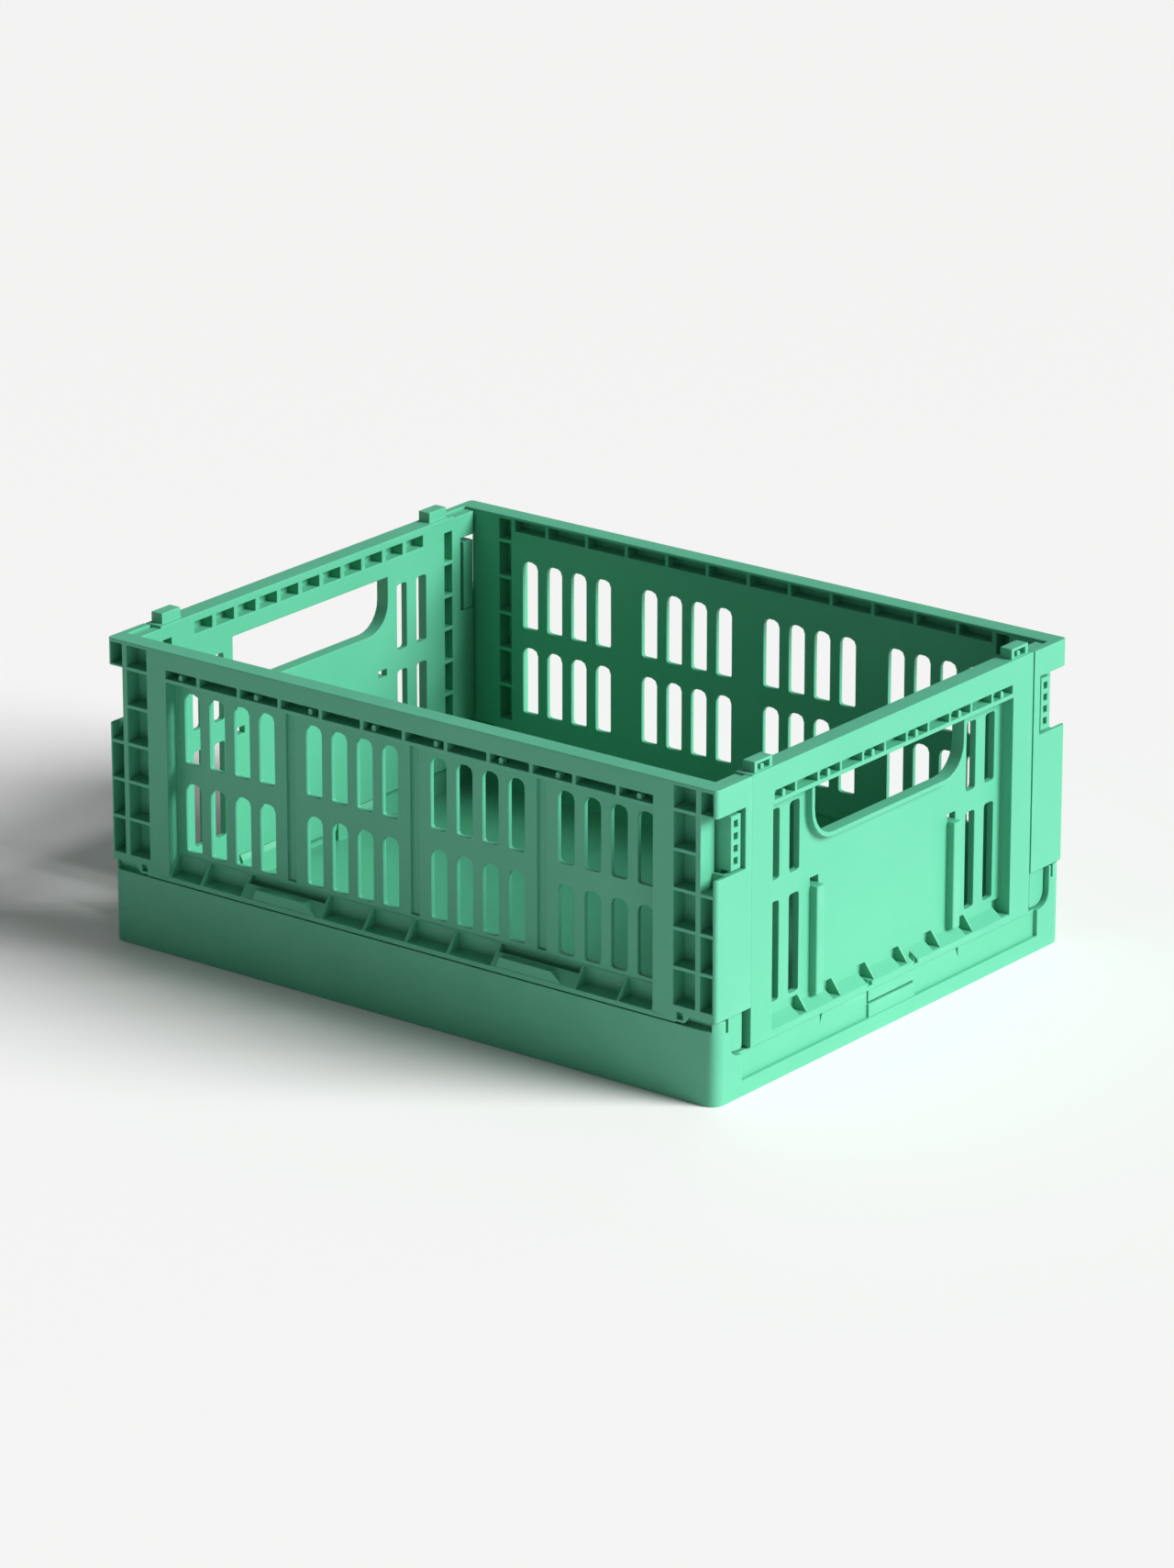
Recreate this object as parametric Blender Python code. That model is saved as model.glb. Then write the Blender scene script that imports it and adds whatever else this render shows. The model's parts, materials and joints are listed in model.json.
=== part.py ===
"""Collapsible storage crate, medium size, moulded in one colour of polypropylene.

The crate is five mouldings: a base tray, two long walls and two end walls, with four
flexing latch tongues on the end walls. Everything is drawn in millimetres and turned into
metres when a mesh is made.

A wall is drawn in its own frame: u runs along the wall, w is the depth inward from its
outer face, and z is the height above the surface that the crate stands on.
"""
import bpy
import bmesh
from math import cos, radians, sin
from mathutils import Vector

MM = 0.001
PAST = 1.0  # how far a cut runs past the face that it opens

# The whole crate
LENGTH = 345.0
WIDTH = 265.0
RIM_Z = 146.0

# Base tray
BASE_Z = 35.0
POST_Z = 39.0
POST_PLATE = 3.0
BASE_CORNER_RADIUS = 6.0
BASE_SIDE_WALL = 7.0
BASE_END_WALL = 6.0
FOOT_WIDTH = 7.0
FOOT_Z = 4.6
FLOOR_Z = 7.0
END_LIP_Z = 20.1
END_PANEL_STEP = 2.0
END_SILL_STEP = 0.8
END_SILL_Z = 13.7
END_PANEL_BOTTOM_Z = 7.4
END_PANEL_EDGE_U = 19.5
POST_EDGE_U = 10.5
POST_NOTCH_RADIUS = 7.0
POST_SLOT_U = (7.6, 9.2)
POST_SLOT_Z = 33.0
HOLLOW_RADIUS = 2.0
FOOT_RADIUS = 4.0
LUG_NOTCH_HALF = 7.2
LUG_NOTCH_W = (1.0, 8.6)
LUG_NOTCH_Z = 5.2

# Long walls
LONG_WALL = 10.0
LONG_BOTTOM_Z = 35.6
RETURN_REACH = 25.5
RETURN_THICKNESS = 4.0
RETURN_BOTTOM_Z = 39.5
CORNER_RADIUS = 2.0
COLUMN_WIDTH = 23.2
STILE_WIDTH = 11.3
LONG_PANEL_HALF = LENGTH / 2 - COLUMN_WIDTH - STILE_WIDTH
LONG_RECESS = 7.5
LONG_SLOPE_Z = (38.0, 47.5)
LONG_SHELF_Z = (131.2, 133.0)
LONG_BAR_Z = 137.0
POCKET_RIB = 2.0
POCKETS_PER_GROUP = 3
NUBS_U = (17.6, 54.0, 85.5, 129.8)
INNER_POCKET_Z = (139.2, 144.6)
POCKET_SKIN = 3.5
NOTCH_Z = (105.0, 133.0)
NOTCH_FLOOR = 8.6
NOTCH_REACH = 20.8

# Parts of a long wall measured from the crate's end
CORNER_SPACE_U = 21.7
STUB_W = 4.6
STUB_Z = 38.2
STUB_RADIUS = 2.1
STUB_U = (3.4, 22.7)
HOOK = ((22.8, 35.9), (17.2, 35.9), (13.6, 40.5), (22.8, 40.5))
HOOK_W = (0.2, 4.0)
HOOK_POCKET_U = (18.0, 21.4)
HOOK_POCKET_W = 2.6
HOOK_POCKET_Z = (37.2, 40.4)
TONGUE_U = (11.3, 22.6)
TONGUE_W = (2.6, 4.8)
TONGUE_BOTTOM_Z = 21.1
TONGUE_RADIUS = 6.2
TONGUE_CHAMFER = 1.0

# Cells in the corner columns and in the inner side of the stiles
CELL_ROWS = 6
CELL_PITCH = 18.1
CELL_RIB = 1.8
CELL_BOTTOM_Z = 43.6
CELL_DEPTH = 8.4
CELL_U = ((11.4, 23.2), (1.9, 8.6))
STILE_CELL_U = (25.0, 32.0)
STILE_CELL_SKIN = 2.4

# Clips at the foot of a long wall, and the gussets between them
CLIP_CENTRES = (-70.0, 70.0)
CLIP = ((-19.0, 37.5), (-17.0, 43.0), (12.0, 43.0), (19.0, 37.5))
CLIP_W = (0.2, 4.1)
GUSSETS_U = (24.0, 49.0, 95.0, 119.0)
GUSSET_HALF = 0.8
GUSSET_POCKET_Z = (38.0, 46.6)
GUSSET_POCKET_W = (4.6, 8.4)

# Slots in the long walls: four groups of four, in two rows
SLOT_WIDTH = 8.9
SLOT_PITCH = 14.6
GROUP_PITCH = 71.3
LONG_SLOT_ROWS = ((49.2, 82.2), (91.7, 125.3))
SLOT_TOP_RADIUS = 3.2
SLOT_BOTTOM_RADIUS = 1.4
GROOVE_HALF = 2.4
GROOVE_DEPTH = 1.5
GROOVE_BOTTOM_Z = 48.5

# End walls
END_WALL = 10.0
END_FRONT = 0.4
END_HALF_FRAME = 106.5
END_HALF_FLANGE = 121.5
FLANGE_FRONT = 5.0
FLANGE_Z = (41.0, 145.0)
END_BOTTOM_Z = 20.5
END_STILE_WIDTH = 15.5
END_PANEL_HALF = END_HALF_FRAME - END_STILE_WIDTH
END_RECESS = 6.5
END_LEDGE_Z = (23.6, 28.2)
END_SHELF_Z = (128.2, 130.3)
END_BAR_Z = 134.5
END_POCKET_COUNT = 11
END_POCKET_RIB = 1.6
END_INNER_POCKET_Z = (136.4, 142.2)
END_INNER_POCKET_HALF = 6.2
END_INNER_POCKET_PITCH = 15.4
END_SLOT_WIDTH = 7.2
END_SLOT_U = (67.0, 81.7)
END_SLOT_ROWS = ((33.2, 79.6), (89.7, 122.5))
GRIP_HALF_WIDTH = 56.5
GRIP_Z = (102.0, END_SHELF_Z[0])
GRIP_RADIUS = 14.0
GRIP_LIP = 2.2
GRIP_LIP_FRONT = 3.2
RAIL_U = 52.2
RAIL_WIDTH = 5.8
RAIL_Z = 79.5
RAIL_FRONT = 2.6
RAIL_ROUNDING = 0.8
RAIL_FOOT_Z = 29.0
RAIL_GAP_HALF = 3.1
RAIL_GAP_Z = 83.0
GUSSET_COUNT = 6
GUSSET_PITCH = 25.4
GUSSET_THICKNESS = 1.4
GUSSET_TOP_Z = 31.6
HOLLOW_WIDTH = 5.4
HOLLOW_W = (1.0, 8.6)
HOLLOW_Z = (24.3, 31.0)
BAR_NOTCH_U = (15.9, 19.3)
BAR_NOTCH_W = 5.2
BAR_NOTCH_Z = (22.4, 29.6)
BAR_NUB = ((16.9, 22.0), (18.3, 22.0), (17.6, 25.6))
BAR_NUB_W = (1.4, 4.0)
NUB_WIDTH = 2.4
NUB_W = (0.9, 4.4)
NUB_HEIGHT = 3.2
END_CELL_U = (99.4, 105.2)
END_CELL_ROWS = 7
END_CELL_BOTTOM_Z = 26.0
END_CELL_PITCH = 16.4
END_CELL_HEIGHT = 14.6
LUG_U = 97.0
LUG_WIDTH = 13.0
LUG_Z = 151.0
LUG_W = (1.5, 8.0)
LUG_POCKET_HALF = 4.2
LUG_POCKET_W = 5.6
LUG_POCKET_Z = (146.4, 149.6)
LUG_NUB_W = (2.2, 6.0)
LUG_NUB_Z = 148.5

# End wall hinge
HINGE_W = 6.5
HINGE_Z = 14.0
PIN_RADIUS = 2.0
BORE_RADIUS = 2.4
KNUCKLE_RADIUS = 3.5
KNUCKLE_U = (17.9, 52.0)
KNUCKLE_W = (2.0, 2.9, 8.4, 10.0)
KNUCKLE_Z = (6.0, 17.0, 18.4, 19.9)
BORE_U = (16.5, 50.6)
PIN_HALF = 50.0
TAB_HALF = 17.2
TAB_FRONT = 1.4
TAB_FRONT_Z = 14.6
WINDOW_HALF = 17.6
WINDOW_W = 2.6
WINDOW_Z = 10.1
NICK = ((50.4, 21.1), (52.8, 15.4), (52.8, 21.1))

# Latch tongues
LATCH_U = 117.4
LATCH_WIDTH = 7.0
LATCH_Z = (97.4, 131.0)
LATCH_BLOCK_Z = 106.0
LATCH_FRONT = 1.0
LATCH_STEM_W = 6.4
LATCH_PIVOT_Z = 98.0
LATCH_POCKETS = 4
LATCH_RIB = 2.4
LATCH_SIDE = 2.1
LATCH_POCKET_W = 4.5
LATCH_GAP = (0.4, 2.2, 2.5)


def arc(cx, cy, radius, start, end, steps):
    """Points on a circle from one angle to another, in degrees."""
    points = []
    for i in range(steps + 1):
        angle = radians(start + (end - start) * i / steps)
        points.append((cx + radius * cos(angle), cy + radius * sin(angle)))
    return points


def rounded(u0, u1, z0, z1, bottom, top, steps=3):
    """An upright rectangle with rounded corners, anticlockwise from its lower right."""
    points = arc(u1 - bottom, z0 + bottom, bottom, -90, 0, steps)
    points += arc(u1 - top, z1 - top, top, 0, 90, steps)
    points += arc(u0 + top, z1 - top, top, 90, 180, steps)
    points += arc(u0 + bottom, z0 + bottom, bottom, 180, 270, steps)
    return points


def grip_outline(grow):
    """The hand grip: square at the top, rounded at its lower corners."""
    half = GRIP_HALF_WIDTH + grow
    low = GRIP_Z[0] - grow
    radius = GRIP_RADIUS + grow
    points = arc(half - radius, low + radius, radius, -90, 0, 6)
    points += [(half, GRIP_Z[1]), (-half, GRIP_Z[1])]
    points += arc(radius - half, low + radius, radius, 180, 270, 6)
    return points


def prism(bm, axis, outline, low, high):
    """Extrude an outline along one axis. Its points are the other two, in u, w, z order."""
    place = {
        "u": lambda a, b, t: (t, a, b),
        "w": lambda a, b, t: (a, t, b),
        "z": lambda a, b, t: (a, b, t),
    }[axis]
    first = [bm.verts.new(place(a, b, low)) for a, b in outline]
    last = [bm.verts.new(place(a, b, high)) for a, b in outline]
    bm.faces.new(first)
    bm.faces.new(reversed(last))
    for i in range(len(outline)):
        j = (i + 1) % len(outline)
        bm.faces.new((first[i], last[i], last[j], first[j]))


def block(bm, u, w, z):
    """A box given by its ranges along u, w and z."""
    outline = [(u[0], w[0]), (u[1], w[0]), (u[1], w[1]), (u[0], w[1])]
    prism(bm, "z", outline, z[0], z[1])


def mirrored(u):
    """A range of u and its mirror image on the other half of the wall."""
    return (u, (-u[1], -u[0]))


def spaced(count, pitch):
    """Centres of a row of repeats, centred on zero."""
    return [(i - (count - 1) / 2) * pitch for i in range(count)]


def finish_mesh(name, bm, origin):
    """Turn a drawing in millimetres into a mesh in metres about its origin."""
    bmesh.ops.recalc_face_normals(bm, faces=bm.faces)
    bmesh.ops.translate(bm, verts=bm.verts, vec=-Vector(origin))
    bmesh.ops.scale(bm, verts=bm.verts, vec=(MM, MM, MM))
    mesh = bpy.data.meshes.new(name)
    bm.to_mesh(mesh)
    bm.free()
    return mesh


def plastic():
    """Mint green polypropylene with a satin finish."""
    material = bpy.data.materials.new("mint_green_polypropylene")
    material.use_nodes = True
    shader = material.node_tree.nodes["Principled BSDF"]
    shader.inputs["Base Color"].default_value = (0.20, 0.56, 0.37, 1.0)
    shader.inputs["Roughness"].default_value = 0.42
    shader.inputs["Metallic"].default_value = 0.0
    material.diffuse_color = (0.20, 0.56, 0.37, 1.0)
    return material


class Piece:
    """One moulding: a starting solid, then unions and cuts in order."""

    def __init__(self, name, draw, material, origin=(0, 0, 0), parent=None):
        self.origin = origin
        self.parent = parent
        self.object = self.add(name, draw)
        self.object.data.materials.append(material)

    def add(self, name, draw):
        bm = bmesh.new()
        draw(bm)
        mesh = finish_mesh(name, bm, self.origin)
        thing = bpy.data.objects.new(name, mesh)
        thing.parent = self.parent
        bpy.context.collection.objects.link(thing)
        return thing

    def combine(self, operation, label, draw):
        tool = self.add(f"{self.object.name}_{label}", draw)
        tool.hide_render = True
        tool.display_type = "WIRE"
        modifier = self.object.modifiers.new(label, "BOOLEAN")
        modifier.operation = operation
        modifier.solver = "EXACT"
        modifier.object = tool

    def cut(self, label, draw):
        self.combine("DIFFERENCE", label, draw)

    def join(self, label, draw):
        self.combine("UNION", label, draw)


def empty(name, location, turn=0.0):
    """An unseen axis or frame that pieces are parented to."""
    thing = bpy.data.objects.new(name, None)
    thing.location = [value * MM for value in location]
    thing.rotation_euler = (0, 0, radians(turn))
    thing.empty_display_size = 0.02
    bpy.context.collection.objects.link(thing)
    return thing


# ---------------------------------------------------------------- base tray

def across(side, near, far):
    """A range of x at one end of the crate, from two depths inward from its end face."""
    return sorted((side * (LENGTH / 2 - near), side * (LENGTH / 2 - far)))


def post_outline():
    """The part cut away between the corner posts above the end lip, seen from the end."""
    reach = WIDTH / 2
    centre = POST_EDGE_U + POST_NOTCH_RADIUS
    corner = arc(centre, END_LIP_Z + POST_NOTCH_RADIUS, POST_NOTCH_RADIUS, 180, 270, 5)
    half = [(reach - u, z) for u, z in [(POST_EDGE_U, POST_Z + PAST)] + corner]
    return half + [(-u, z) for u, z in reversed(half)]


def draw_tray(bm):
    x = LENGTH / 2
    y = WIDTH / 2
    outline = rounded(-x, x, -y, y, BASE_CORNER_RADIUS, BASE_CORNER_RADIUS, 4)
    prism(bm, "z", outline, 0, POST_Z)


def cut_tray_hollows(bm):
    x = LENGTH / 2 - BASE_END_WALL
    y = WIDTH / 2 - BASE_SIDE_WALL
    outline = rounded(-x, x, -y, y, HOLLOW_RADIUS, HOLLOW_RADIUS, 2)
    prism(bm, "z", outline, FLOOR_Z, POST_Z + PAST)
    x = LENGTH / 2 - FOOT_WIDTH
    y = WIDTH / 2 - FOOT_WIDTH
    prism(bm, "z", rounded(-x, x, -y, y, FOOT_RADIUS, FOOT_RADIUS, 2), -PAST, FOOT_Z)


def cut_tray_ends(bm):
    """Open both ends above the lip, between the corner posts."""
    for side in (-1, 1):
        x = across(side, -PAST, BASE_END_WALL + PAST)
        prism(bm, "u", post_outline(), x[0], x[1])


def cut_tray_rim(bm):
    """Lower the rim under the long walls. The corner posts keep a thin plate at each end."""
    x = LENGTH / 2 - POST_PLATE
    y = WIDTH / 2 + PAST
    block(bm, (-x, x), (-y, y), (BASE_Z, POST_Z + PAST))


def cut_tray_end_steps(bm):
    """The step that frames each end panel of the skirt, and a slot in each corner post."""
    for side in (-1, 1):
        x = across(side, -PAST, END_PANEL_STEP)
        for y in mirrored((WINDOW_HALF, WIDTH / 2 - END_PANEL_EDGE_U)):
            block(bm, x, y, (END_PANEL_BOTTOM_Z, END_LIP_Z + PAST))
        x = across(side, -PAST, POST_PLATE + PAST)
        for y in mirrored((WIDTH / 2 - POST_SLOT_U[1], WIDTH / 2 - POST_SLOT_U[0])):
            block(bm, x, y, (POST_SLOT_Z, POST_Z + PAST))


def draw_tray_knuckles(bm):
    """Two knuckles at each end that hold the hinge pin, standing on the floor behind the lip."""
    front, slope, crest, back = KNUCKLE_W
    low, shoulder, rise, top = KNUCKLE_Z
    outline = [(front, low), (front, rise), (slope, top), (crest, top), (back, shoulder), (back, low)]
    for side in (-1, 1):
        knuckle = [(side * (LENGTH / 2 - w), z) for w, z in outline]
        for u in mirrored(KNUCKLE_U):
            prism(bm, "w", knuckle, u[0], u[1])


def cut_tray_windows(bm):
    """A window in the middle of the lip, and notches under the foot for the lugs below."""
    for side in (-1, 1):
        outline = [(-PAST, END_SILL_Z), (WINDOW_W, END_SILL_Z), (WINDOW_W, WINDOW_Z),
                   (BASE_END_WALL + PAST, WINDOW_Z), (BASE_END_WALL + PAST, END_LIP_Z + PAST),
                   (-PAST, END_LIP_Z + PAST)]
        window = [(side * (LENGTH / 2 - w), z) for w, z in outline]
        prism(bm, "w", window, -WINDOW_HALF, WINDOW_HALF)
        for y in mirrored((LUG_U - LUG_NOTCH_HALF, LUG_U + LUG_NOTCH_HALF)):
            block(bm, across(side, *LUG_NOTCH_W), y, (-PAST, LUG_NOTCH_Z))


def cut_tray_sills(bm):
    """The shallow step below each window."""
    for side in (-1, 1):
        x = across(side, -PAST, END_SILL_STEP)
        block(bm, x, (-WINDOW_HALF - PAST, WINDOW_HALF + PAST),
              (END_PANEL_BOTTOM_Z, END_LIP_Z + PAST))


def cut_tray_bores(bm):
    """A blind bore in each knuckle for the hinge pin, and a nick beside its outer end."""
    for side in (-1, 1):
        bore = arc(side * (LENGTH / 2 - HINGE_W), HINGE_Z, BORE_RADIUS, 0, 330, 11)
        for u in mirrored(BORE_U):
            prism(bm, "w", bore, u[0], u[1])
        for end in (-1, 1):
            x = across(side, -PAST, END_PANEL_STEP + 2 * PAST)
            prism(bm, "u", [(end * u, z) for u, z in NICK], x[0], x[1])


def base_tray(material):
    tray = Piece("base_tray", draw_tray, material)
    tray.cut("hollows", cut_tray_hollows)
    tray.cut("ends", cut_tray_ends)
    tray.cut("rim", cut_tray_rim)
    tray.cut("end_steps", cut_tray_end_steps)
    tray.join("knuckles", draw_tray_knuckles)
    tray.cut("windows", cut_tray_windows)
    tray.cut("sills", cut_tray_sills)
    tray.cut("bores", cut_tray_bores)


# ---------------------------------------------------------------- long walls

def from_end(u):
    """A range of u measured from the crate's end, at both ends of a long wall."""
    return mirrored((LENGTH / 2 - u[1], LENGTH / 2 - u[0]))


def draw_long_wall(bm):
    """Plan outline: a straight wall with a return at each end, round the corner."""
    end = LENGTH / 2
    inner = end - RETURN_THICKNESS
    outline = arc(end - CORNER_RADIUS, CORNER_RADIUS, CORNER_RADIUS, 270, 360, 3)
    outline += [(end, RETURN_REACH), (inner, RETURN_REACH), (inner, LONG_WALL)]
    outline += [(-inner, LONG_WALL), (-inner, RETURN_REACH), (-end, RETURN_REACH)]
    outline += arc(CORNER_RADIUS - end, CORNER_RADIUS, CORNER_RADIUS, 180, 270, 3)
    prism(bm, "z", outline, LONG_BOTTOM_Z, RIM_Z)


def recess_outline(slope_z, deep, top):
    """Section of a sunk panel, open at the wall's outer face, with a sloping lower edge."""
    low, high = slope_z
    return [(-PAST, low), (0, low), (deep, high), (deep, top), (-PAST, top)]


def nub_outline(centre, shelf):
    """Front view of a small nub with a round top, standing on a shelf."""
    half = NUB_WIDTH / 2
    base = [(centre - half, shelf - PAST), (centre + half, shelf - PAST)]
    return base + arc(centre, shelf + NUB_HEIGHT - half, half, 0, 180, 4)


def cut_long_recess(bm):
    """The sunk panel, and the space under each corner."""
    outline = recess_outline(LONG_SLOPE_Z, LONG_RECESS, LONG_SHELF_Z[0])
    prism(bm, "u", outline, -LONG_PANEL_HALF, LONG_PANEL_HALF)
    for u in from_end((-PAST, CORNER_SPACE_U)):
        block(bm, u, (-PAST, RETURN_REACH + PAST), (LONG_BOTTOM_Z - PAST, RETURN_BOTTOM_Z))


def draw_long_extras(bm):
    """Hinge stubs at the corners, the tongues below the returns and the two clips."""
    stub = arc(STUB_W, STUB_Z, STUB_RADIUS, 0, 330, 11)
    for u in from_end(STUB_U):
        prism(bm, "u", stub, u[0], u[1])
    low, high = TONGUE_U
    bottom = TONGUE_BOTTOM_Z
    top = RETURN_BOTTOM_Z + PAST
    outline = [(low, top)]
    outline += arc(low + TONGUE_RADIUS, bottom + TONGUE_RADIUS, TONGUE_RADIUS, 180, 270, 4)
    outline += [(high - TONGUE_CHAMFER, bottom), (high, bottom + TONGUE_CHAMFER), (high, top)]
    for u in from_end(TONGUE_W):
        prism(bm, "u", outline, u[0], u[1])
    for centre in CLIP_CENTRES:
        prism(bm, "w", [(centre + u, z) for u, z in CLIP], CLIP_W[0], CLIP_W[1])


def draw_long_hooks(bm):
    """The small hook beside each hinge stub."""
    for side in (-1, 1):
        outline = [(side * (LENGTH / 2 - u), z) for u, z in HOOK]
        prism(bm, "w", outline, HOOK_W[0], HOOK_W[1])


def slot_centres():
    """Centre of each slot along the long wall."""
    return [group + slot for group in spaced(4, GROUP_PITCH) for slot in spaced(4, SLOT_PITCH)]


def cut_long_slots(bm):
    """The slots, and the grooves between their groups."""
    half = SLOT_WIDTH / 2
    for centre in slot_centres():
        for low, high in LONG_SLOT_ROWS:
            outline = rounded(centre - half, centre + half, low, high,
                              SLOT_BOTTOM_RADIUS, SLOT_TOP_RADIUS, 2)
            prism(bm, "w", outline, LONG_RECESS - PAST, LONG_WALL + PAST)
    for centre in spaced(3, GROUP_PITCH):
        block(bm, (centre - GROOVE_HALF, centre + GROOVE_HALF),
              (LONG_RECESS - PAST, LONG_RECESS + GROOVE_DEPTH),
              (GROOVE_BOTTOM_Z, LONG_SHELF_Z[0]))


def cut_long_pockets(bm):
    """Pockets under the top bar and in its inner side, three to each group of slots."""
    ribs = spaced(4 * POCKETS_PER_GROUP - 1, GROUP_PITCH / POCKETS_PER_GROUP)
    lefts = [-LONG_PANEL_HALF] + [rib + POCKET_RIB / 2 for rib in ribs]
    rights = [rib - POCKET_RIB / 2 for rib in ribs] + [LONG_PANEL_HALF]
    for u in zip(lefts, rights):
        block(bm, u, (-PAST, LONG_RECESS), (LONG_SHELF_Z[1], LONG_BAR_Z))
        block(bm, u, (POCKET_SKIN, LONG_WALL + PAST), INNER_POCKET_Z)


def draw_long_nubs(bm):
    """A nub in the outer two pockets of each three."""
    for nub in NUBS_U:
        for side in (-1, 1):
            prism(bm, "w", nub_outline(side * nub, LONG_SHELF_Z[1]), NUB_W[0], NUB_W[1])


def cut_long_gussets(bm):
    """Pockets between the gussets at the foot of the panel, shallower behind a clip."""
    edges = [-LONG_PANEL_HALF] + [-u for u in reversed(GUSSETS_U)] + [0]
    edges += list(GUSSETS_U) + [LONG_PANEL_HALF]
    front, deep = GUSSET_POCKET_W
    for left, right in zip(edges, edges[1:]):
        behind_clip = any(left < centre < right for centre in CLIP_CENTRES)
        w = (front if behind_clip else -PAST, deep)
        block(bm, (left + GUSSET_HALF, right - GUSSET_HALF), w, GUSSET_POCKET_Z)


def cut_long_cells(bm):
    """Open cells of the corner columns, outside, and of the stiles, inside."""
    for row in range(CELL_ROWS):
        low = CELL_BOTTOM_Z + row * CELL_PITCH
        high = min(low + CELL_PITCH, RIM_Z) - CELL_RIB
        for column in CELL_U:
            for u in from_end(column):
                block(bm, u, (-PAST, CELL_DEPTH), (low, high))
        for u in from_end(STILE_CELL_U):
            block(bm, u, (STILE_CELL_SKIN, LONG_WALL + PAST), (low, high))
    for u in from_end(HOOK_POCKET_U):
        block(bm, u, (-PAST, HOOK_POCKET_W), HOOK_POCKET_Z)


def cut_long_notches(bm):
    """The finger notch of each latch, open at the crate's corner."""
    for u in from_end((-PAST, NOTCH_FLOOR)):
        block(bm, u, (-PAST, NOTCH_REACH), NOTCH_Z)


def long_wall(name, side, material):
    frame = empty(f"{name}_frame", (0, side * WIDTH / 2, 0), 90 + 90 * side)
    wall = Piece(name, draw_long_wall, material, parent=frame)
    wall.cut("recess", cut_long_recess)
    wall.join("extras", draw_long_extras)
    wall.join("hooks", draw_long_hooks)
    wall.cut("slots", cut_long_slots)
    wall.cut("pockets", cut_long_pockets)
    wall.cut("gussets", cut_long_gussets)
    wall.cut("cells", cut_long_cells)
    wall.cut("notches", cut_long_notches)
    wall.join("nubs", draw_long_nubs)


# ---------------------------------------------------------------- end walls

def about(centre, half):
    """A range of u about a centre, and its mirror image."""
    return mirrored((centre - half, centre + half))


def draw_end_wall(bm):
    """Plan outline: the frame between the returns, and a flange behind each of them."""
    outline = [(END_HALF_FRAME, END_FRONT), (END_HALF_FRAME, FLANGE_FRONT),
               (END_HALF_FLANGE, FLANGE_FRONT), (END_HALF_FLANGE, END_WALL)]
    outline += [(-u, w) for u, w in reversed(outline)]
    prism(bm, "z", outline, END_BOTTOM_Z, RIM_Z)


def cut_end_recess(bm):
    """The sunk panel, and the ends of both flanges."""
    outline = recess_outline(END_LEDGE_Z, END_RECESS, END_SHELF_Z[0])
    prism(bm, "u", outline, -END_PANEL_HALF, END_PANEL_HALF)
    for u in mirrored((END_HALF_FRAME, END_HALF_FLANGE + PAST)):
        block(bm, u, (-PAST, END_WALL + PAST), (END_BOTTOM_Z - PAST, FLANGE_Z[0]))
        block(bm, u, (-PAST, END_WALL + PAST), (FLANGE_Z[1], RIM_Z + PAST))


def rail_outline(centre):
    """Plan of a card rail, with its front edges rounded."""
    half = RAIL_WIDTH / 2
    rounding = RAIL_ROUNDING
    front = arc(centre + half - rounding, RAIL_FRONT + rounding, rounding, 0, -90, 2)
    front += arc(centre - half + rounding, RAIL_FRONT + rounding, rounding, 270, 180, 2)
    return front + [(centre - half, END_RECESS + PAST), (centre + half, END_RECESS + PAST)]


def draw_end_extras(bm):
    """The grip's raised lip, the card rails and the stacking lugs."""
    prism(bm, "w", grip_outline(GRIP_LIP), GRIP_LIP_FRONT, END_RECESS + PAST)
    for centre in (-RAIL_U, RAIL_U):
        prism(bm, "z", rail_outline(centre), RAIL_FOOT_Z, RAIL_Z)
    for u in about(LUG_U, LUG_WIDTH / 2):
        block(bm, u, LUG_W, (RIM_Z - PAST, LUG_Z))


def cut_end_openings(bm):
    """The hand grip, and the slots to each side of it."""
    prism(bm, "w", grip_outline(0), -PAST, END_WALL + PAST)
    for centre in END_SLOT_U:
        for u in about(centre, END_SLOT_WIDTH / 2):
            for low, high in END_SLOT_ROWS:
                outline = rounded(u[0], u[1], low, high, SLOT_BOTTOM_RADIUS,
                                  SLOT_BOTTOM_RADIUS, 2)
                prism(bm, "w", outline, END_RECESS - PAST, END_WALL + PAST)


def cut_end_rails(bm):
    """A hole in the panel above each card rail."""
    for u in about(RAIL_U, RAIL_GAP_HALF):
        block(bm, u, (END_RECESS - PAST, END_WALL + PAST), (RAIL_Z, RAIL_GAP_Z))


def gusset_centres():
    """Centre of each gusset on the ledge of an end wall."""
    return spaced(GUSSET_COUNT, GUSSET_PITCH)


def draw_end_gussets(bm):
    """Thin gussets on the ledge."""
    half = GUSSET_THICKNESS / 2
    low, high = END_LEDGE_Z
    outline = [(END_FRONT, low - PAST), (END_FRONT + PAST, low + PAST), (END_RECESS, GUSSET_TOP_Z),
               (END_RECESS + PAST, GUSSET_TOP_Z), (END_RECESS + PAST, low - PAST)]
    for centre in gusset_centres():
        prism(bm, "u", outline, centre - half, centre + half)


def cut_end_hollows(bm):
    """A deep hollow beside each gusset, and one in the corner of the ledge."""
    gap = GUSSET_THICKNESS / 2
    for edge in [centre - gap for centre in gusset_centres()] + [END_PANEL_HALF]:
        block(bm, (edge - HOLLOW_WIDTH, edge), HOLLOW_W, HOLLOW_Z)


def cut_end_notches(bm):
    """Two notches in the front edge of the ledge."""
    for u in mirrored(BAR_NOTCH_U):
        block(bm, u, (-PAST, BAR_NOTCH_W), BAR_NOTCH_Z)


def end_pocket_centres():
    """Centre of each pocket under the top bar of an end wall."""
    return spaced(END_POCKET_COUNT, 2 * END_PANEL_HALF / END_POCKET_COUNT)


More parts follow.
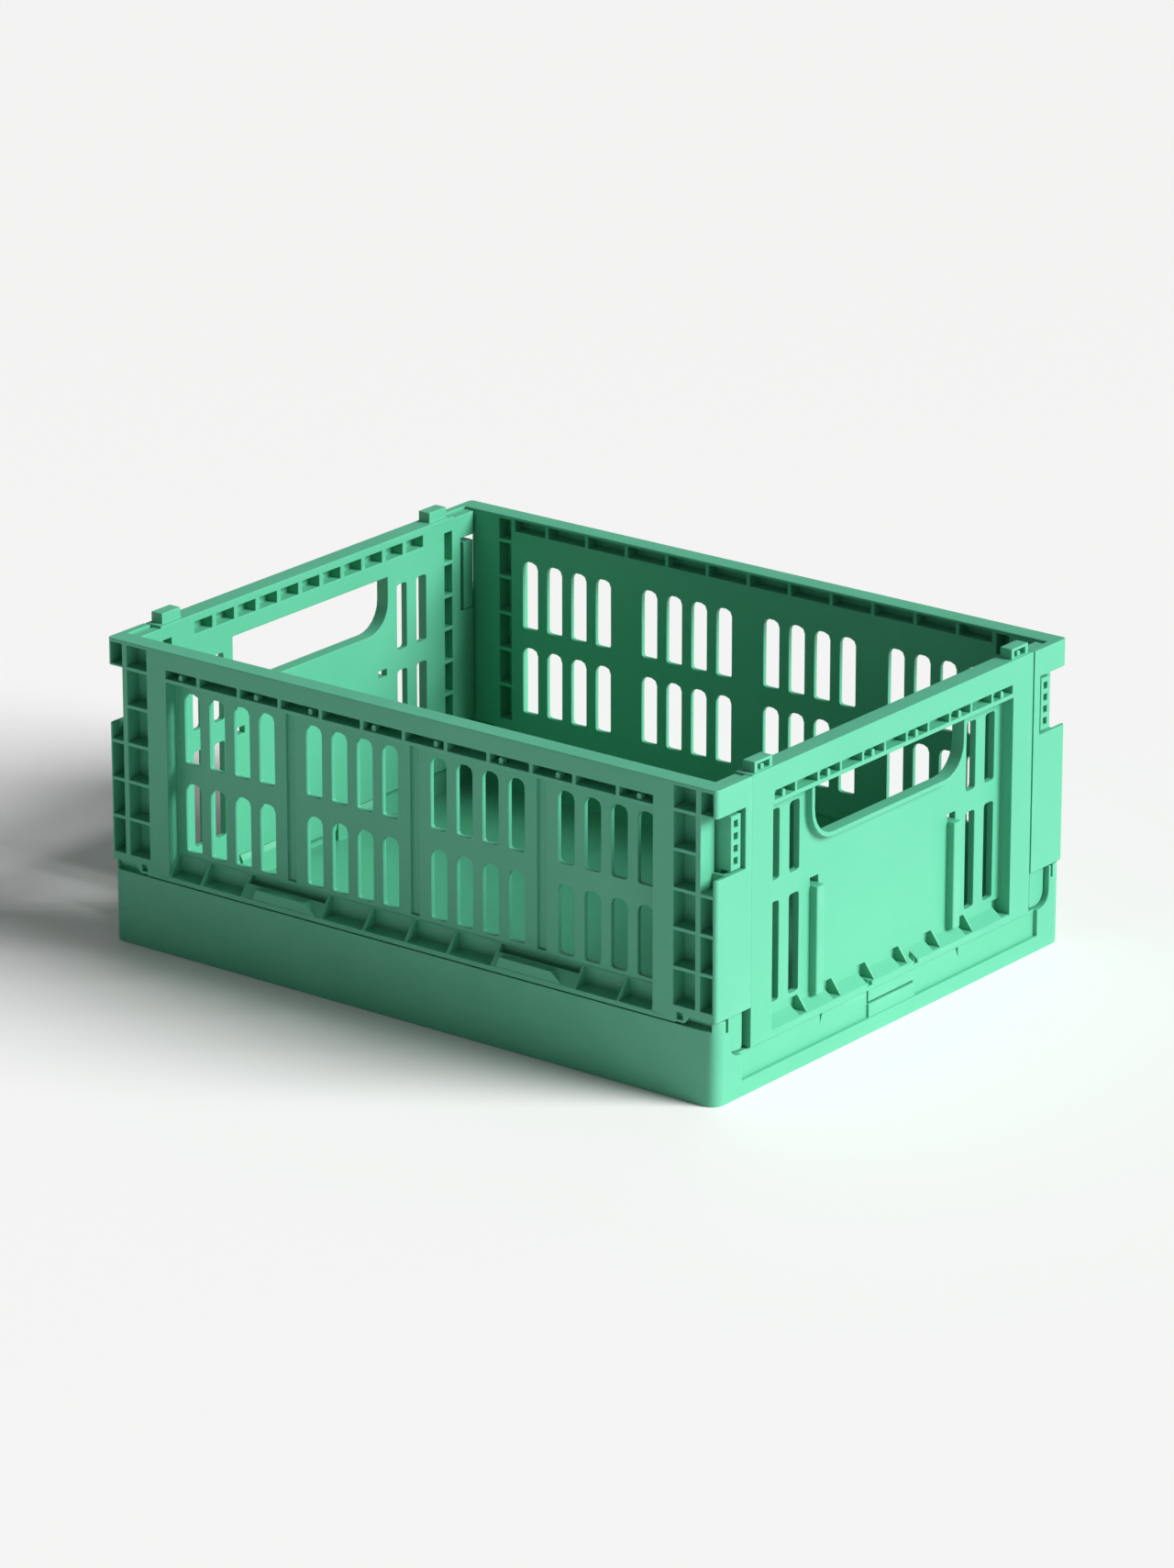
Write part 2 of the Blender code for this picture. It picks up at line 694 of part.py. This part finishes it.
def cut_end_pockets(bm):
    """Pockets under the top bar and in its inner side."""
    half = END_PANEL_HALF / END_POCKET_COUNT - END_POCKET_RIB / 2
    for centre in end_pocket_centres():
        u = (centre - half, centre + half)
        block(bm, u, (-PAST, END_RECESS), (END_SHELF_Z[1], END_BAR_Z))
    for centre in spaced(END_POCKET_COUNT, END_INNER_POCKET_PITCH):
        u = (centre - END_INNER_POCKET_HALF, centre + END_INNER_POCKET_HALF)
        block(bm, u, (POCKET_SKIN, END_WALL + PAST), END_INNER_POCKET_Z)


def draw_end_nubs(bm):
    """A nub in every other pocket, in the pocket of each lug and in each notch of the ledge."""
    for centre in end_pocket_centres()[::2]:
        prism(bm, "w", nub_outline(centre, END_SHELF_Z[1]), NUB_W[0], NUB_W[1])
    for u in about(LUG_U, NUB_WIDTH / 2):
        block(bm, u, LUG_NUB_W, (LUG_POCKET_Z[0] - PAST, LUG_NUB_Z))
    for side in (-1, 1):
        outline = [(side * u, z) for u, z in BAR_NUB]
        prism(bm, "w", outline, BAR_NUB_W[0], BAR_NUB_W[1])


def cut_end_cells(bm):
    """Cells in the inner side of the stiles, the lugs' pockets and a gap round each latch."""
    for row in range(END_CELL_ROWS):
        low = END_CELL_BOTTOM_Z + row * END_CELL_PITCH
        for u in mirrored(END_CELL_U):
            block(bm, u, (STILE_CELL_SKIN, END_WALL + PAST), (low, low + END_CELL_HEIGHT))
    for u in about(LUG_U, LUG_POCKET_HALF):
        block(bm, u, (0, LUG_POCKET_W), LUG_POCKET_Z)
    below, beside, above = LATCH_GAP
    for u in mirrored((LATCH_U - LATCH_WIDTH / 2 - beside, END_HALF_FLANGE + PAST)):
        block(bm, u, (-PAST, END_WALL + PAST), (LATCH_Z[0] - below, LATCH_Z[1] + above))


def draw_end_tab(bm):
    """The tab that hangs in the tray's window, round the hinge axis."""
    outline = [(TAB_FRONT, END_BOTTOM_Z + PAST), (TAB_FRONT, TAB_FRONT_Z)]
    outline += arc(HINGE_W, HINGE_Z, KNUCKLE_RADIUS, 180, 360, 6)
    outline += [(HINGE_W + KNUCKLE_RADIUS, END_BOTTOM_Z + PAST)]
    prism(bm, "u", outline, -TAB_HALF, TAB_HALF)


def draw_end_pin(bm):
    pin = arc(HINGE_W, HINGE_Z, PIN_RADIUS, 0, 330, 11)
    prism(bm, "u", pin, -PIN_HALF, PIN_HALF)


def end_wall(side, material):
    """An end wall hangs from an empty on its hinge axis, and its latches from the wall."""
    name = "right_end_wall" if side > 0 else "left_end_wall"
    axis = empty(f"{name}_axis", (side * (LENGTH / 2 - HINGE_W), 0, HINGE_Z), 90 * side)
    origin = (0, HINGE_W, HINGE_Z)
    wall = Piece(name, draw_end_wall, material, origin, axis)
    wall.cut("recess", cut_end_recess)
    wall.join("extras", draw_end_extras)
    wall.cut("openings", cut_end_openings)
    wall.cut("rails", cut_end_rails)
    wall.cut("pockets", cut_end_pockets)
    wall.cut("cells", cut_end_cells)
    wall.join("gussets", draw_end_gussets)
    wall.cut("hollows", cut_end_hollows)
    wall.cut("notches", cut_end_notches)
    wall.join("nubs", draw_end_nubs)
    wall.join("tab", draw_end_tab)
    wall.join("pin", draw_end_pin)
    for end in (-1, 1):
        latch(side, end, axis, material)


# ---------------------------------------------------------------- latch tongues

def latch(side, end, axis, material):
    """A tongue in the flange, with a finger block that stands in the return's notch."""
    # the end wall's own u runs towards +Y on the right wall and towards -Y on the left
    u = end * side * LATCH_U
    name = f"{'right' if side > 0 else 'left'}_{'rear' if end > 0 else 'front'}_latch"
    pivot = empty(f"{name}_axis", (u, 0, LATCH_PIVOT_Z - HINGE_Z))
    pivot.parent = axis
    half = LATCH_WIDTH / 2
    bottom, top = LATCH_Z

    def draw_tongue(bm):
        outline = [(END_WALL, bottom), (END_WALL, top), (LATCH_FRONT, top),
                   (LATCH_FRONT, LATCH_BLOCK_Z), (LATCH_STEM_W, LATCH_BLOCK_Z),
                   (LATCH_STEM_W, bottom)]
        prism(bm, "u", outline, u - half, u + half)

    def cut_pockets(bm):
        pitch = (top - LATCH_BLOCK_Z - LATCH_RIB) / LATCH_POCKETS
        for i in range(LATCH_POCKETS):
            low = LATCH_BLOCK_Z + LATCH_RIB + i * pitch
            block(bm, (u - half + LATCH_SIDE, u + half - LATCH_SIDE), (0, LATCH_POCKET_W),
                  (low, low + pitch - LATCH_RIB))

    tongue = Piece(name, draw_tongue, material, (u, HINGE_W, LATCH_PIVOT_Z), pivot)
    tongue.cut("pockets", cut_pockets)


def main():
    for thing in list(bpy.data.objects):
        bpy.data.objects.remove(thing, do_unlink=True)
    material = plastic()
    base_tray(material)
    long_wall("front_long_wall", -1, material)
    long_wall("rear_long_wall", 1, material)
    end_wall(-1, material)
    end_wall(1, material)


main()
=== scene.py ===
"""The looks of the collapsible storage crate: rounded mouldings, plastic, light and camera."""

import json
from math import radians

import bmesh
import bpy
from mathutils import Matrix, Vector


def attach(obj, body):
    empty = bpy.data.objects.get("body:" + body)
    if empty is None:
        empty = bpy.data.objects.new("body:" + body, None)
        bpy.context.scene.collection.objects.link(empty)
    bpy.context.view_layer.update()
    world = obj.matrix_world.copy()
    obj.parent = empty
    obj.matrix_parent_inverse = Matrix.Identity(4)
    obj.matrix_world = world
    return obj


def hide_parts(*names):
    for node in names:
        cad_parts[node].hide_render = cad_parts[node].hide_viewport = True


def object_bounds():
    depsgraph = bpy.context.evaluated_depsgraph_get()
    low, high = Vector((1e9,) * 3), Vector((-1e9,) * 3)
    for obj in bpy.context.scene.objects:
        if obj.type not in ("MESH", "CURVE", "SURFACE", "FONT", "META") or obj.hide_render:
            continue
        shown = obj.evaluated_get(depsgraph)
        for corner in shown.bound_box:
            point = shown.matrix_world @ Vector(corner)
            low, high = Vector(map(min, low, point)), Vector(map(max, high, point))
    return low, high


WELD = 2e-6                # metres
FLAT = radians(0.6)        # faces that turn less than this are one face
EDGE_ANGLE = radians(25)   # edges that turn more than this are rounded
EDGE_RADIUS = 0.00035      # metres
EDGE_STEPS = 2
CORNER_SINE = 0.5          # edges that meet at a sharper turn than this bound each other
ROOM = 0.4                 # share of a short neighbour that a rounded edge may take

# colours, linear
PIGMENT_DARK = (0.085, 0.415, 0.255, 1)
PIGMENT_PALE = (0.098, 0.440, 0.272, 1)
FLOW_MARK = (0.96, 0.975, 0.97, 1)
RUBBED_EDGE = (0.26, 0.64, 0.47, 1)
FLOOR_PAPER = (0.92, 0.92, 0.915)

# stage; lengths are in metres unless a name says otherwise
FLOOR_HALF = 12.0
SUN_TOWARDS = (0.80, 0.28, 0.50)
SUN_STRENGTH = 5.2
SUN_SPREAD = radians(32)
SKY_STRENGTH = 0.18
VIEWER = (1.97, -2.55, 1.21)
LENS_MM = 172
SENSOR_MM = 36

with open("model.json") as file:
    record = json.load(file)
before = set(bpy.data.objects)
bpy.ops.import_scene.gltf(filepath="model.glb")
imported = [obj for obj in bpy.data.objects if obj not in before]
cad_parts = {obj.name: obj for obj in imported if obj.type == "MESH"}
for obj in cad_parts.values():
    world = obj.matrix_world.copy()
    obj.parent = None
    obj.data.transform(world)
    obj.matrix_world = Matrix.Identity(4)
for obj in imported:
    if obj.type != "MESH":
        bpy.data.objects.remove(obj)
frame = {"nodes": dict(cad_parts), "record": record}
cad_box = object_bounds()


# ---------------------------------------------------------------- material

def link(tree, out_socket, in_socket):
    tree.links.new(out_socket, in_socket)


def grey(value):
    return (value, value, value, 1)


def polypropylene(name):
    """Mint green moulded plastic: satin, faintly translucent, with a fine mould grain."""
    material = bpy.data.materials.new(name)
    material.use_nodes = True
    tree = material.node_tree
    shader = tree.nodes["Principled BSDF"]
    shader.inputs["IOR"].default_value = 1.49
    shader.inputs["Specular IOR Level"].default_value = 0.35
    shader.inputs["Subsurface Weight"].default_value = 0.12
    shader.inputs["Subsurface Radius"].default_value = (0.4, 1.0, 0.8)
    shader.inputs["Subsurface Scale"].default_value = 0.002
    shader.inputs["Coat Weight"].default_value = 0.04
    shader.inputs["Coat Roughness"].default_value = 0.25

    coords = tree.nodes.new("ShaderNodeTexCoord")

    def noise(scale, detail):
        node = tree.nodes.new("ShaderNodeTexNoise")
        node.inputs["Scale"].default_value = scale
        node.inputs["Detail"].default_value = detail
        link(tree, coords.outputs["Object"], node.inputs["Vector"])
        return node.outputs["Fac"]

    def ramp(factor, stops):
        node = tree.nodes.new("ShaderNodeValToRGB")
        first, last = node.color_ramp.elements
        first.position, first.color = stops[0]
        last.position, last.color = stops[1]
        link(tree, factor, node.inputs["Fac"])
        return node.outputs["Color"]

    def mix(kind, factor, a, b):
        node = tree.nodes.new("ShaderNodeMix")
        node.data_type = "RGBA"
        node.blend_type = kind
        for socket, value in (("Factor", factor), ("A", a), ("B", b)):
            target = [s for s in node.inputs if s.name == socket and s.enabled][0]
            if isinstance(value, bpy.types.NodeSocket):
                link(tree, value, target)
            else:
                target.default_value = value
        return [s for s in node.outputs if s.enabled][0]

    # slow shifts of pigment, then faint flow marks drawn out along the mould
    pigment = ramp(noise(scale=9.0, detail=3.0), [(0.3, PIGMENT_DARK), (0.7, PIGMENT_PALE)])
    stretch = tree.nodes.new("ShaderNodeMapping")
    stretch.inputs["Scale"].default_value = (22.0, 22.0, 3.0)
    link(tree, coords.outputs["Object"], stretch.inputs["Vector"])
    flow = tree.nodes.new("ShaderNodeTexNoise")
    flow.inputs["Scale"].default_value = 1.0
    flow.inputs["Detail"].default_value = 5.0
    flow.inputs["Distortion"].default_value = 0.8
    link(tree, stretch.outputs["Vector"], flow.inputs["Vector"])
    marks = ramp(flow.outputs["Fac"], [(0.35, FLOW_MARK), (0.65, grey(1))])
    colour = mix("MULTIPLY", 0.8, pigment, marks)

    # handled edges are rubbed a little paler
    geometry = tree.nodes.new("ShaderNodeNewGeometry")
    edges = ramp(geometry.outputs["Pointiness"], [(0.53, grey(0)), (0.62, grey(1))])
    rub = ramp(noise(scale=60.0, detail=4.0), [(0.4, grey(0.05)), (0.7, grey(0.35))])
    wear = mix("MULTIPLY", 1.0, edges, rub)
    colour = mix("MIX", wear, colour, RUBBED_EDGE)
    link(tree, colour, shader.inputs["Base Color"])

    rough = ramp(noise(scale=140.0, detail=6.0), [(0.3, grey(0.36)), (0.7, grey(0.46))])
    link(tree, rough, shader.inputs["Roughness"])

    bump = tree.nodes.new("ShaderNodeBump")
    bump.inputs["Strength"].default_value = 0.12
    bump.inputs["Distance"].default_value = 0.00012
    link(tree, noise(scale=1400.0, detail=3.0), bump.inputs["Height"])
    wave = tree.nodes.new("ShaderNodeBump")
    wave.inputs["Strength"].default_value = 0.25
    wave.inputs["Distance"].default_value = 0.0006
    link(tree, noise(scale=28.0, detail=2.0), wave.inputs["Height"])
    link(tree, bump.outputs["Normal"], wave.inputs["Normal"])
    link(tree, wave.outputs["Normal"], shader.inputs["Normal"])
    return material


# ---------------------------------------------------------------- mouldings

def room_beside(edge):
    """Length of the shortest edge that leaves either end of this one at an angle."""
    along = (edge.verts[1].co - edge.verts[0].co).normalized()
    room = 1.0
    for vert in edge.verts:
        for other in vert.link_edges:
            across = (other.verts[1].co - other.verts[0].co).normalized()
            if other is not edge and along.cross(across).length > CORNER_SINE:
                room = min(room, other.calc_length())
    return room


def rounded_copy(node, name, material):
    """A copy of a CAD node with its edges rounded as a mould leaves them."""
    bm = bmesh.new()
    bm.from_mesh(frame["nodes"][node].data)
    bmesh.ops.remove_doubles(bm, verts=bm.verts, dist=WELD)
    bmesh.ops.dissolve_limit(bm, angle_limit=FLAT, verts=bm.verts, edges=bm.edges)
    bmesh.ops.connect_verts_concave(bm, faces=bm.faces)
    for face in bm.faces:
        face.smooth = True
        face.material_index = 0
    weight = bm.edges.layers.float.new("bevel_weight_edge")
    for edge in bm.edges:
        if len(edge.link_faces) == 2 and edge.calc_face_angle() > EDGE_ANGLE:
            edge[weight] = min(1.0, ROOM * room_beside(edge) / EDGE_RADIUS)
    mesh = bpy.data.meshes.new(name)
    bm.to_mesh(mesh)
    bm.free()
    mesh.materials.append(material)
    piece = bpy.data.objects.new(name, mesh)
    bpy.context.scene.collection.objects.link(piece)
    bevel = piece.modifiers.new("rounded_edges", "BEVEL")
    bevel.width = EDGE_RADIUS
    bevel.segments = EDGE_STEPS
    bevel.limit_method = "WEIGHT"
    bevel.use_clamp_overlap = False
    normals = piece.modifiers.new("even_normals", "WEIGHTED_NORMAL")
    normals.keep_sharp = True
    return piece


plastic = polypropylene("mint_polypropylene")
for body, nodes in frame["record"]["behaviour"]["bodies"].items():
    for node in nodes:
        piece = rounded_copy(node, f"moulded_{node}", plastic)
        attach(piece, body)
        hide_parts(node)


# ---------------------------------------------------------------- stage, light and camera

def paper(name):
    material = bpy.data.materials.new(name)
    material.use_nodes = True
    shader = material.node_tree.nodes["Principled BSDF"]
    shader.inputs["Base Color"].default_value = (*FLOOR_PAPER, 1)
    shader.inputs["Roughness"].default_value = 0.7
    return material


def floor():
    mesh = bpy.data.meshes.new("studio_floor")
    half = FLOOR_HALF
    corners = [(-half, -half, 0), (half, -half, 0), (half, half, 0), (-half, half, 0)]
    mesh.from_pydata(corners, [], [(0, 1, 2, 3)])
    thing = bpy.data.objects.new("studio_floor", mesh)
    mesh.materials.append(paper("pale_paper"))
    bpy.context.scene.collection.objects.link(thing)


def key_light():
    """A broad light so far off that the floor is lit the same all over."""
    light = bpy.data.lights.new("key", "SUN")
    light.energy = SUN_STRENGTH
    light.angle = SUN_SPREAD
    thing = bpy.data.objects.new("key", light)
    thing.rotation_euler = Vector(SUN_TOWARDS).to_track_quat("Z", "Y").to_euler()
    bpy.context.scene.collection.objects.link(thing)


def sky():
    world = bpy.data.worlds.new("studio")
    world.use_nodes = True
    background = world.node_tree.nodes["Background"]
    background.inputs["Color"].default_value = grey(1)
    background.inputs["Strength"].default_value = SKY_STRENGTH
    bpy.context.scene.world = world


def camera():
    """A long lens aimed at the middle of the crate."""
    lens = bpy.data.cameras.new("camera")
    lens.lens = LENS_MM
    lens.sensor_width = SENSOR_MM
    viewer = bpy.data.objects.new("camera", lens)
    viewer.location = VIEWER
    direction = (cad_box[0] + cad_box[1]) / 2 - viewer.location
    viewer.rotation_euler = direction.to_track_quat("-Z", "Y").to_euler()
    bpy.context.scene.collection.objects.link(viewer)
    bpy.context.scene.camera = viewer


floor()
key_light()
sky()
camera()
bpy.context.scene.view_settings.view_transform = "Standard"
